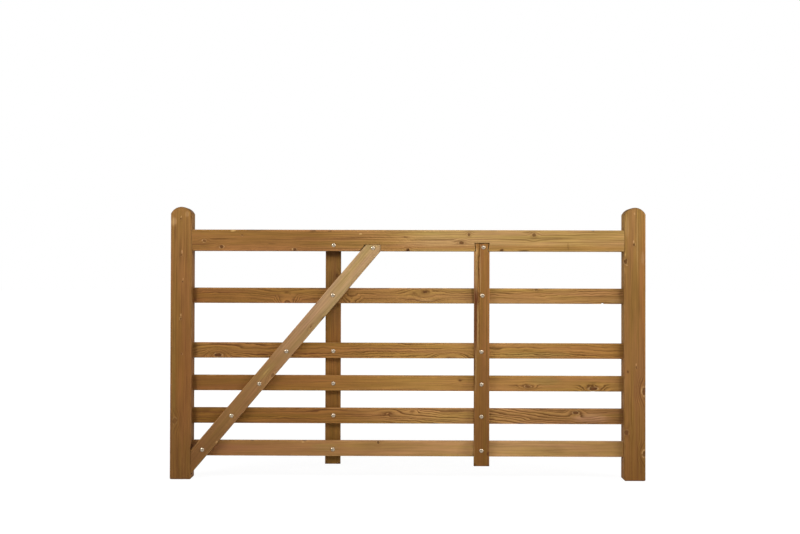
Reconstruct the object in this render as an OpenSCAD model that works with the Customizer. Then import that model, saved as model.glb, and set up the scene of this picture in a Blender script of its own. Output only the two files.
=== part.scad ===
// Wooden farm gate leaf, mortised and tenoned, with two uprights and a bolted diagonal brace.
// The leaf lies along X with its brace on the front, towards -Y. The origin is the middle of the
// flat outer face of the hanging stile, which is the face that a post carries.

/* [Leaf] */
// Length over both stiles
leaf_length = 2134; // [1750:1:3600]
// Height from the stiles' feet to the crowns of their rounded tops
leaf_height = 1225; // [1000:1:1600]

/* [Stiles] */
// Width of each stile along the leaf
stile_width = 96; // [84:1:130]
// Thickness of the stiles and of the top rail
stile_thickness = 70; // [58:1:95]
// Rise of the rounded top above the stile's straight sides
crown_rise = 31; // [12:1:40]
// Chamfer at the two lower corners of each foot
foot_chamfer = 5; // [4.5:0.5:20]
// Rounding along the planed edges of the stiles and the top rail
frame_arris = 4; // [1:0.5:6]
// Chamfer along the edges of the curved top
crown_chamfer = 3; // [1:0.5:5]
// Rounding across the foot, front and back
foot_arris = 5; // [1:0.5:5]

/* [Top rail] */
// Depth of the top rail
top_rail_depth = 96; // [84:1:120]
// Drop from the crowns to the top rail's upper side
top_rail_drop = 102; // [80:1:130]
// Height of the haunch above each tenon
haunch_height = 24; // [12:1:30]
// Depth of the haunch in the stile
haunch_depth = 20; // [10:1:40]

/* [Lower rails] */
// Depth of each lower rail
rail_depth = 70; // [55:1:85]
// Thickness of the lower rails, and of the tenons
rail_thickness = 22; // [16:1:26]
// Height of the bottom rail's underside above the feet
bottom_rail_height = 103; // [85:1:130]
// Clear gap between the four closely spaced rails
lower_gap = 77; // [60:1:95]
// How far the fifth rail sits above the middle of its space
fifth_rail_raise = 6; // [0:0.5:15]
// Rounding along the planed edges of the thin timbers
rail_arris = 2.5; // [0.5:0.5:4]
// Length of the stub tenons in their blind mortises
stub_tenon = 62; // [40:1:66]

/* [Uprights] */
// Width of the two uprights
upright_width = 70; // [60:1:90]
// Thickness of the uprights and of the brace
upright_thickness = 22; // [16:1:23]
// From the hanging face to the middle of the back upright
back_upright_place = 729; // [600:1:800]
// From the closing face to the middle of the front upright
front_upright_place = 734; // [600:1:760]
// Height of the uprights' lower ends above the feet
upright_foot = 64; // [40:1:80]
// Height of the dovetailed lap of the front upright in the top rail
front_lap = 35; // [28:1:45]
// Height of the dovetailed lap of the back upright in the top rail
back_lap = 48; // [40:1:60]
// Width of a lap at its narrow neck, under the top rail
lap_neck = 50; // [40:1:54]
// Width of a lap at its upper end
lap_head = 62; // [56:1:68]

/* [Brace] */
// Width of the diagonal brace
brace_width = 70; // [55:1:85]
// Height at which its centre line meets the hanging stile
brace_foot = 80; // [75:1:110]
// Depth of its foot in the hanging stile
foot_housing = 3; // [2:0.5:8]
// Open pocket left in the stile above the toe
toe_pocket = 12; // [2:1:18]
// Height of its head in the top rail
brace_lap = 29; // [24:1:40]

/* [Bolts] */
// Diameter of the coach bolts
bolt_diameter = 8; // [6:1:10]
// Height of the front upright's top bolt above the top rail's underside
front_bolt_rise = 18; // [15:1:24]
// Height of the back upright's top bolt above the top rail's underside
back_bolt_rise = 26; // [15:1:32]
// Height of the brace's top bolt above the top rail's underside
brace_bolt_rise = 14; // [12:1:20]
// Height of each rail's bolts above its middle, from the bottom rail up
rail_bolt_rise = [-5, 1, -2, -3, 2]; // [-8:0.5:8]
// How far the back upright's bolts sit to the right of its middle, from the bottom up
back_bolt_shift = [2, 4, 3.5, 3, 1, 5]; // [-9:0.5:9]
// How far the front upright's bolts sit to the right of its middle, from the bottom up
front_bolt_shift = [-1, -1, -1, -1.5, 2.5, 7]; // [-9:0.5:9]
// How far the brace's bolts sit to the right of its centre line, at the four lowest rails
brace_bolt_shift = [4.5, 5.5, 8.5, 6]; // [-9:0.5:9]

/* [Fits] */
// Gap all round a tenon in its mortise
tenon_gap = 0.3; // [0.1:0.1:1]
// Gap between a lap and the sides of its housing
lap_gap = 3; // [0.5:0.5:4]
// Extra diameter of a bolt hole
bolt_play = 1; // [0.5:0.5:2]
// How far a through tenon stops short of the outer face
tenon_shy = 0.5; // [0.3:0.1:2]

/* [Hidden] */
$fn = 48;
cut = 1; // overrun of a cutting tool past a face

top_rail_z = leaf_height - top_rail_drop - top_rail_depth;
spring_z = leaf_height - crown_rise;
crown_radius = (pow(stile_width / 2, 2) + pow(crown_rise, 2)) / (2 * crown_rise);
origin_z = spring_z / 2;
inner_length = leaf_length - 2 * stile_width;

// Undersides of the five lower rails, from the bottom rail up
function close_rail_z(i) = bottom_rail_height + i * (rail_depth + lower_gap);
fifth_rail_z = (close_rail_z(3) + top_rail_z) / 2 + fifth_rail_raise;
rail_z = [close_rail_z(0), close_rail_z(1), close_rail_z(2), close_rail_z(3), fifth_rail_z];
rail_centre_z = [for (z = rail_z) z + rail_depth / 2];

back_upright_x = back_upright_place;
front_upright_x = leaf_length - front_upright_place;
housing_depth = (stile_thickness - rail_thickness) / 2;

// The brace's centre line runs from the hanging stile through the crossing of the back upright
// and the fifth rail, where all three share one bolt.
brace_angle = atan2(rail_centre_z[4] - brace_foot, back_upright_x - stile_width);
brace_half_run = brace_width / 2 / sin(brace_angle);
brace_half_rise = brace_width / 2 / cos(brace_angle);
brace_top_z = top_rail_z + brace_lap;
brace_toe_x = stile_width - foot_housing;
function brace_x(z) = stile_width + (z - brace_foot) / tan(brace_angle);
function brace_z(x) = brace_foot + (x - stile_width) * tan(brace_angle);

// Bolts as [x, z] points, one list for each timber that they fix, from the bottom up. The brace and
// the back upright share the bolt at the fifth rail.
rail_bolt_z = [for (i = [0 : 4]) rail_centre_z[i] + rail_bolt_rise[i]];
front_bolts = [for (i = [0 : 5]) [front_upright_x + front_bolt_shift[i],
                                  i < 5 ? rail_bolt_z[i] : top_rail_z + front_bolt_rise]];
back_bolts = [for (i = [0 : 5]) [back_upright_x + back_bolt_shift[i],
                                 i < 5 ? rail_bolt_z[i] : top_rail_z + back_bolt_rise]];
brace_bolts = [for (i = [0 : 3]) [brace_x(rail_bolt_z[i]) + brace_bolt_shift[i], rail_bolt_z[i]],
               back_bolts[4], [brace_x(top_rail_z + brace_bolt_rise), top_rail_z + brace_bolt_rise]];

// ---- Shared shapes ----

// Puts the leaf's own heights, measured from its feet, into the model's frame
module in_frame() {
    translate([0, 0, -origin_z]) children();
}

// Stands an outline drawn in x and z upright, as thick as given, with its front at y
module upright_extrude(y, thickness) {
    translate([0, y + thickness, 0]) rotate([90, 0, 0]) linear_extrude(thickness) children();
}

// Cross-section of a planed timber with rounded edges
module planed_section(width, thickness, arris) {
    square([width - 2 * arris, thickness], center = true);
    square([width, thickness - 2 * arris], center = true);
    for (x = [-1, 1], y = [-1, 1])
        translate([x * (width / 2 - arris), y * (thickness / 2 - arris)]) circle(arris);
}

// Planed timber along +X from the origin, its depth along Z and its thickness along Y
module planed_bar(length, depth, thickness, arris) {
    rotate([90, 0, 90]) linear_extrude(length)
        rotate(90) planed_section(depth, thickness, arris);
}

// Bolt holes through the children at the given [x, z] points
module drilled(points) {
    difference() {
        children();
        for (p = points)
            translate([p[0], 0, p[1]]) rotate([90, 0, 0])
                cylinder(d = bolt_diameter + bolt_play, h = stile_thickness + 2 * cut, center = true);
    }
}

// Dovetailed outline standing on z, centred on x, widened by gap at its sides and upper end
module dovetail(x, z, height, gap) {
    flare = (lap_head - lap_neck) / 2 / height;
    neck = lap_neck / 2 + gap;
    top = height + gap;
    polygon([[x - neck, z], [x + neck, z], [x + neck + flare * top, z + top], [x - neck - flare * top, z + top]]);
}

// ---- Stiles ----

// Side view of a stile's straight length, with the edges of its foot rounded
module straight_outline() {
    translate([0, spring_z / 2]) planed_section(stile_thickness, spring_z, foot_arris);
    translate([-stile_thickness / 2, spring_z / 2]) square([stile_thickness, spring_z / 2]);
}

// Disc with chamfered rims that shapes the rounded top of a stile
module crown_disc() {
    rim = crown_radius - crown_chamfer;
    translate([stile_width / 2, stile_thickness / 2, leaf_height - crown_radius]) rotate([90, 0, 0])
        rotate_extrude() polygon([[0, 0], [rim, 0], [crown_radius, crown_chamfer],
                                  [crown_radius, stile_thickness - crown_chamfer], [rim, stile_thickness],
                                  [0, stile_thickness]]);
}

// Wedge that takes off one lower corner of a foot
module foot_corner() {
    polygon([[-cut, -cut], [foot_chamfer + cut, -cut], [-cut, foot_chamfer + cut]]);
}

// Stile with its outer face on x = 0, before its mortises are cut
module stile_blank() {
    difference() {
        intersection() {
            translate([stile_width / 2, 0, 0]) linear_extrude(leaf_height + cut)
                planed_section(stile_width, stile_thickness, frame_arris);
            union() {
                rotate([90, 0, 90]) linear_extrude(stile_width) straight_outline();
                intersection() {
                    crown_disc();
                    translate([0, -stile_thickness / 2, spring_z])
                        cube([stile_width, stile_thickness, crown_rise + cut]);
                }
            }
        }
        upright_extrude(-stile_thickness / 2 - cut, stile_thickness + 2 * cut) {
            foot_corner();
            translate([stile_width, 0]) mirror([1, 0]) foot_corner();
        }
    }
}

// Mortise cut into a stile from its inner side, between two heights
module mortise(z, height, depth) {
    translate([stile_width - depth, -rail_thickness / 2 - tenon_gap, z - tenon_gap])
        cube([depth + cut, rail_thickness + 2 * tenon_gap, height + 2 * tenon_gap]);
}

// Stile with a through mortise for the top and bottom rails and blind ones for the rest
module stile() {
    through = stile_width + cut;
    difference() {
        stile_blank();
        mortise(top_rail_z, top_rail_depth - haunch_height, through);
        mortise(top_rail_z, top_rail_depth, haunch_depth + tenon_gap);
        mortise(rail_z[0], rail_depth, through);
        for (i = [1 : 4])
            mortise(rail_z[i], rail_depth, stub_tenon + tenon_gap);
    }
}

module hanging_stile() {
    toe_z = brace_z(stile_width) + brace_half_rise + toe_pocket;
    heel_z = brace_z(brace_toe_x) - brace_half_rise - tenon_gap;
    color("#7d5a2f") in_frame() difference() {
        stile();
        translate([brace_toe_x - tenon_gap, -stile_thickness / 2 - cut, heel_z])
            cube([foot_housing + tenon_gap + cut, housing_depth + cut, toe_z - heel_z]);
    }
}

module closing_stile() {
    color("#8b6236") in_frame() translate([leaf_length, 0, 0]) mirror([1, 0, 0]) stile();
}

// ---- Rails ----

// Tenon at each end of a rail, standing out past both shoulders
module tenons(z, height, length) {
    translate([stile_width - length, -rail_thickness / 2, z])
        cube([inner_length + 2 * length, rail_thickness, height]);
}

module top_rail() {
    color("#a97c46") in_frame() drilled([front_bolts[5], back_bolts[5], brace_bolts[5]]) difference() {
        union() {
            translate([stile_width, 0, top_rail_z + top_rail_depth / 2])
                planed_bar(inner_length, top_rail_depth, stile_thickness, frame_arris);
            tenons(top_rail_z, top_rail_depth - haunch_height, stile_width - tenon_shy);
            tenons(top_rail_z, top_rail_depth, haunch_depth);
        }
        upright_extrude(-stile_thickness / 2 - cut, housing_depth + cut) {
            dovetail(front_upright_x, top_rail_z, front_lap, lap_gap);
            translate([front_upright_x - lap_neck / 2 - lap_gap, top_rail_z - cut])
                square([lap_neck + 2 * lap_gap, 2 * cut]);
            brace_head_housing();
        }
        upright_extrude(rail_thickness / 2, housing_depth + cut) {
            dovetail(back_upright_x, top_rail_z, back_lap, lap_gap);
            translate([back_upright_x - lap_neck / 2 - lap_gap, top_rail_z - cut])
                square([lap_neck + 2 * lap_gap, 2 * cut]);
        }
    }
}

// Lower rail, counted from the bottom rail at 0, with its ends this far into the stiles
module lower_rail(i, tenon) {
    bolts = [brace_bolts[i], back_bolts[i], front_bolts[i]];
    in_frame() drilled(i == 4 ? [bolts[1], bolts[2]] : bolts)
        translate([stile_width - tenon, 0, rail_centre_z[i]])
            planed_bar(inner_length + 2 * tenon, rail_depth, rail_thickness, rail_arris);
}

module fifth_rail() {
    color("#94683a") lower_rail(4, stub_tenon);
}

module fourth_rail() {
    color("#8f6335") lower_rail(3, stub_tenon);
}

module third_rail() {
    color("#946838") lower_rail(2, stub_tenon);
}

module second_rail() {
    color("#8c6033") lower_rail(1, stub_tenon);
}

module bottom_rail() {
    color("#9a7041") lower_rail(0, stile_width - tenon_shy);
}

// ---- Uprights and brace ----

// Upright centred on x with its front at y, dovetailed into the top rail at its upper end
module upright(x, y, lap, bolts) {
    drilled(bolts) {
        translate([x, y + upright_thickness / 2, upright_foot]) linear_extrude(top_rail_z - upright_foot)
            planed_section(upright_width, upright_thickness, rail_arris);
        upright_extrude(y, upright_thickness) dovetail(x, top_rail_z, lap, 0);
    }
}

module back_upright() {
    color("#6f4a24") in_frame() upright(back_upright_x, rail_thickness / 2, back_lap, back_bolts);
}

module front_upright() {
    color("#8a5f33") in_frame()
        upright(front_upright_x, -rail_thickness / 2 - upright_thickness, front_lap, front_bolts);
}

// Outline of the brace's two end cuts: plumb at the stile, level and plumb in the top rail
module brace_outline() {
    heel_z = brace_z(brace_toe_x) - brace_half_rise;
    toe_z = brace_z(brace_toe_x) + brace_half_rise;
    nose_x = brace_x(top_rail_z) + brace_half_run;
    polygon([[brace_toe_x, heel_z], [nose_x, top_rail_z], [nose_x, brace_top_z],
             [brace_x(brace_top_z) - brace_half_run, brace_top_z], [brace_toe_x, toe_z]]);
}

// Housing for the brace's head, cut up from the top rail's underside
module brace_head_housing() {
    left = brace_half_run + lap_gap / sin(brace_angle);
    right = brace_x(top_rail_z) + brace_half_run + tenon_gap;
    low = top_rail_z - cut;
    high = brace_top_z + tenon_gap;
    polygon([[brace_x(low) - left, low], [right, low], [right, high], [brace_x(high) - left, high]]);
}

module brace() {
    reach = norm([brace_x(brace_top_z) - brace_toe_x, brace_top_z - brace_z(brace_toe_x)]);
    spare = brace_half_run + brace_half_rise;
    color("#9c7040") in_frame() drilled(brace_bolts) intersection() {
        translate([brace_toe_x, -(rail_thickness + upright_thickness) / 2, brace_z(brace_toe_x)])
            rotate([0, -brace_angle, 0]) translate([-spare, 0, 0])
                planed_bar(reach + 2 * spare, brace_width, upright_thickness, rail_arris);
        upright_extrude(-rail_thickness / 2 - upright_thickness - cut, upright_thickness + 2 * cut) brace_outline();
    }
}

hanging_stile();
closing_stile();
top_rail();
fifth_rail();
fourth_rail();
third_rail();
second_rail();
bottom_rail();
back_upright();
front_upright();
brace();
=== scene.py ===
import math

import bmesh
import bpy
from mathutils import Matrix, Vector, noise


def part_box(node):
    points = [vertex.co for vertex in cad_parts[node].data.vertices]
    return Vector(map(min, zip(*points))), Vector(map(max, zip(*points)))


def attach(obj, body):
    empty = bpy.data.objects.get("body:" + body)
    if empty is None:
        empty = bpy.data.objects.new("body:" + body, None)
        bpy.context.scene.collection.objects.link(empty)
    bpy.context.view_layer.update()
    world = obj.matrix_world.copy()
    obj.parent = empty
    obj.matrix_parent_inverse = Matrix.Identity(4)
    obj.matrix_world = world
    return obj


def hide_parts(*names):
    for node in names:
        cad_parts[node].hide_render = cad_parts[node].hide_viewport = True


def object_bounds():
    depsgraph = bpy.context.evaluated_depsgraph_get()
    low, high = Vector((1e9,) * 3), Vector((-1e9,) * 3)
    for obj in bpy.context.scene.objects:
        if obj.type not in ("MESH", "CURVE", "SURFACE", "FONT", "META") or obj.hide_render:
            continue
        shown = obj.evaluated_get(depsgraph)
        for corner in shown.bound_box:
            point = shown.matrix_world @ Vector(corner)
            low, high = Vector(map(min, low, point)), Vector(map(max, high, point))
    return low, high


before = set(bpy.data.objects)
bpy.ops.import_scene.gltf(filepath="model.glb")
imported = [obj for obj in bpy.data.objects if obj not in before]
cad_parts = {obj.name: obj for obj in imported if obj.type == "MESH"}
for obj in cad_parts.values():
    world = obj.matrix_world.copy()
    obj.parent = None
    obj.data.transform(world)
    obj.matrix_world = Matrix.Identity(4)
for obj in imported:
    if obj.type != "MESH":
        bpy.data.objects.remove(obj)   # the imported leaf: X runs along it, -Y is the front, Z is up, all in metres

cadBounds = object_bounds()
print("frame loaded:", len(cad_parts), "timbers")


def linear(hexColour):
    parts = [int(hexColour[i:i + 2], 16) / 255 for i in (1, 3, 5)]
    return tuple(p / 12.92 if p <= 0.04045 else ((p + 0.055) / 1.055) ** 2.4 for p in parts) + (1.0,)


def addNode(tree, kind, settings=None, inputs=()):
    # inputs are values or other nodes, in the order of the sockets or by socket name or number
    node = tree.nodes.new("ShaderNode" + kind)
    for name, value in (settings or {}).items():
        if name == "stops":     # colour ramp: (place, colour with alpha)
            while len(node.color_ramp.elements) < len(value):
                node.color_ramp.elements.new(1.0)
            for element, (place, colour) in zip(node.color_ramp.elements, value):
                element.position = place
                element.color = colour
        else:
            setattr(node, name, value)
    for socket, value in inputs.items() if isinstance(inputs, dict) else enumerate(inputs):
        if isinstance(value, bpy.types.Node):
            value = next(s for s in value.outputs if s.enabled)
        if isinstance(value, bpy.types.NodeSocket):
            tree.links.new(value, node.inputs[socket])
        else:
            node.inputs[socket].default_value = value
    return node


def emptyMaterial(name):
    material = bpy.data.materials.new(name)
    material.use_nodes = True
    material.node_tree.nodes.clear()
    return material, material.node_tree


def meshFrom(bm, name):
    mesh = bpy.data.meshes.new(name)
    bm.to_mesh(mesh)
    bm.free()
    return mesh


def shadeSmooth(mesh, sharpFrom):
    # smooth, but creased where faces meet at more than this many degrees
    mesh.polygons.foreach_set("use_smooth", [True] * len(mesh.polygons))
    mesh.set_sharp_from_angle(angle=math.radians(sharpFrom))


def addPiece(name, mesh, material, slot):
    mesh.materials.append(material)
    piece = bpy.data.objects.new(name, mesh)
    bpy.context.scene.collection.objects.link(piece)
    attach(piece, "root")
    return piece


def centreOf(name):
    low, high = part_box(name)
    return (low + high) / 2


cameraView = {
    "place": (1.064, -4.525, 0.316),
    "turn": (90.55, -0.15, 0.405),      # degrees: a touch up and a touch to the left
    "lens": 45,
}
softBoxes = {
    "leftBox": {
        "place": (-2.0, -1.9, 1.8),     # the main light, beside the leaf and above it
        "aim": (0.9, 0, 0),
        "size": (1.5, 1.5),
        "power": 88,
    },
    "rightBox": {
        "place": (4.6, -1.5, 1.5),      # lower and farther round, so that both inner faces are lit
        "aim": (1.2, 0, 0),
        "size": (1.5, 1.5),
        "power": 84,
    },
    "topBox": {
        "place": (1.6, -2.3, 2.4),      # evens out the middle
        "aim": (1.3, 0, 0.1),
        "size": (1.6, 1.2),
        "power": 34,
    },
    "backBox": {
        "place": (1.0, 4.4, -0.1),      # so that the back isn't left in the dark
        "aim": (1.0, 0, 0),
        "size": (2.4, 0.8),
        "power": 55,
        "mirrored": False,              # or the edges turned from the eye would glare
    },
}
studio = {
    "worldFill": 0.28,          # evenly from all sides
    "darkSide": 0.16,           # the unlit walls in front, as bright metal mirrors them
    "floorTone": "#e8e8e8",
    "floorGlow": 0.935,         # lifts the pale floor to white for the camera
    "floorThin": 0.11,          # what is left of the shadow on it
    "clearFrom": 0.9,           # metres from the leaf's middle, where the shadow ends
    "clearTo": 3.2,
    "floorRadius": 60,
}
smoothStep = {"interpolation_type": "SMOOTHSTEP"}


def addCamera():
    data = bpy.data.cameras.new("camera")
    data.lens = cameraView["lens"]
    data.sensor_width = 36
    data.clip_end = 200
    camera = bpy.data.objects.new("camera", data)
    camera.location = cameraView["place"]
    camera.rotation_euler = [math.radians(a) for a in cameraView["turn"]]
    bpy.context.scene.collection.objects.link(camera)
    bpy.context.scene.camera = camera


def addSoftBox(name, box):
    data = bpy.data.lights.new(name, "AREA")
    data.shape = "RECTANGLE"
    data.size, data.size_y = box["size"]
    data.energy = box["power"]
    light = bpy.data.objects.new(name, data)
    light.location = box["place"]
    aim = Vector(box["aim"]) - Vector(box["place"])
    light.rotation_euler = aim.to_track_quat("-Z", "Y").to_euler()
    light.visible_camera = False
    light.visible_glossy = box.get("mirrored", True)
    bpy.context.scene.collection.objects.link(light)


def seenRay(tree):
    # 1 for rays that show the background: straight to the eye, in a gloss or through glass
    path = addNode(tree, "LightPath")
    first = addNode(tree, "Math", {"operation": "MAXIMUM"},
                    [path.outputs["Is Camera Ray"], path.outputs["Is Glossy Ray"]])
    return addNode(tree, "Math", {"operation": "MAXIMUM"}, [first, path.outputs["Is Transmission Ray"]])


def addWorld():
    world = bpy.data.worlds.new("studio")
    world.use_nodes = True
    tree = world.node_tree
    tree.nodes.clear()
    white = (1, 1, 1, 1)
    fill = addNode(tree, "Background", {}, [white, studio["worldFill"]])

    # plain white to the eye; a mirror finds a bright ceiling and backdrop but unlit walls in front
    towards = addNode(tree, "SeparateXYZ", {}, [addNode(tree, "TexCoord")])
    ceiling = addNode(tree, "MapRange", smoothStep,
                      [towards.outputs[2], 0.15, 0.55, studio["darkSide"], 1.0])
    backdrop = addNode(tree, "MapRange", smoothStep,
                       [towards.outputs[1], -0.6, 0.1, studio["darkSide"], 1.0])
    room = addNode(tree, "Math", {"operation": "MAXIMUM"}, [ceiling, backdrop])
    straight = addNode(tree, "LightPath").outputs["Is Camera Ray"]
    seen = addNode(tree, "Math", {"operation": "MAXIMUM"}, [room, straight])
    shown = addNode(tree, "Background", {}, [white, seen])
    both = addNode(tree, "MixShader", {}, [seenRay(tree), fill, shown])
    addNode(tree, "OutputWorld", {}, {"Surface": both})
    bpy.context.scene.world = world


def mattPaperFloor():
    # Uncoated studio paper: matt and even, a faint soft shadow near the feet, plain white farther out
    material, tree = emptyMaterial("mattPaperFloor")
    fromMiddle = addNode(tree, "TexCoord").outputs["Object"]
    away = addNode(tree, "VectorMath", {"operation": "LENGTH"}, [fromMiddle])
    clear = addNode(tree, "MapRange", smoothStep,
                    [away, studio["clearFrom"], studio["clearTo"], studio["floorGlow"], 1.0])
    paper = addNode(tree, "BsdfDiffuse", {}, [linear(studio["floorTone"])])
    thin = addNode(tree, "BsdfDiffuse", {}, [(studio["floorThin"],) * 3 + (1.0,)])
    glow = addNode(tree, "Emission", {}, [(1, 1, 1, 1), clear])
    shown = addNode(tree, "AddShader", {}, [thin, glow])
    both = addNode(tree, "MixShader", {}, [seenRay(tree), paper, shown])
    addNode(tree, "OutputMaterial", {}, {"Surface": both})
    return material


def addFloor():
    low, high = cadBounds
    middle = (low + high) / 2
    bm = bmesh.new()
    bmesh.ops.create_circle(bm, cap_ends=True, segments=96, radius=studio["floorRadius"])
    mesh = meshFrom(bm, "floor")
    mesh.materials.append(mattPaperFloor())
    floor = bpy.data.objects.new("floor", mesh)
    floor.location = (middle.x, middle.y, low.z)
    bpy.context.scene.collection.objects.link(floor)


addCamera()
for name, box in softBoxes.items():
    addSoftBox(name, box)
addWorld()
addFloor()
bpy.context.scene.view_settings.view_transform = "Standard"
print("camera, light and floor done")


# Preservative stain on pine and spruce, with a dark tone that also serves for painted shade
stainAndShade = {
    "lateWood": "#573416",      # dark summer band of each ring
    "endGrain": "#5a3a1c",      # end grain drinks the most stain
    "knotHeart": "#5a3519",
    "knotRim": "#38200e",
    "knotHalo": "#6f4824",
    "dark": "#4a2e14",          # stain run together and bark pockets; also painted shade at the rail ends, beside the front upright and under the top rail
    "red": "#5c2c12",           # inside a young knot
    "resin": "#5a3016",         # resinous streak
    "pale": "#c59c66",          # bare or thinly stained spots
    "tan": "#b08b5c",           # sapwood that took less stain
    "orange": "#93612c",        # heartwood, warmer
    "pink": "#b08264",
    "green": "#867a45",         # greenish tint of the preservative
}

# Where a rail meets its two stiles: partly stain gathered in the joint, partly painted shadow that the stiles cast
# on the rail's ends, given as marks
jointStainAndShadow = [(66, 0, 16, 60, "dark", 0.40), (2001, 0, 15, 60, "dark", 0.35)]
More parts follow.
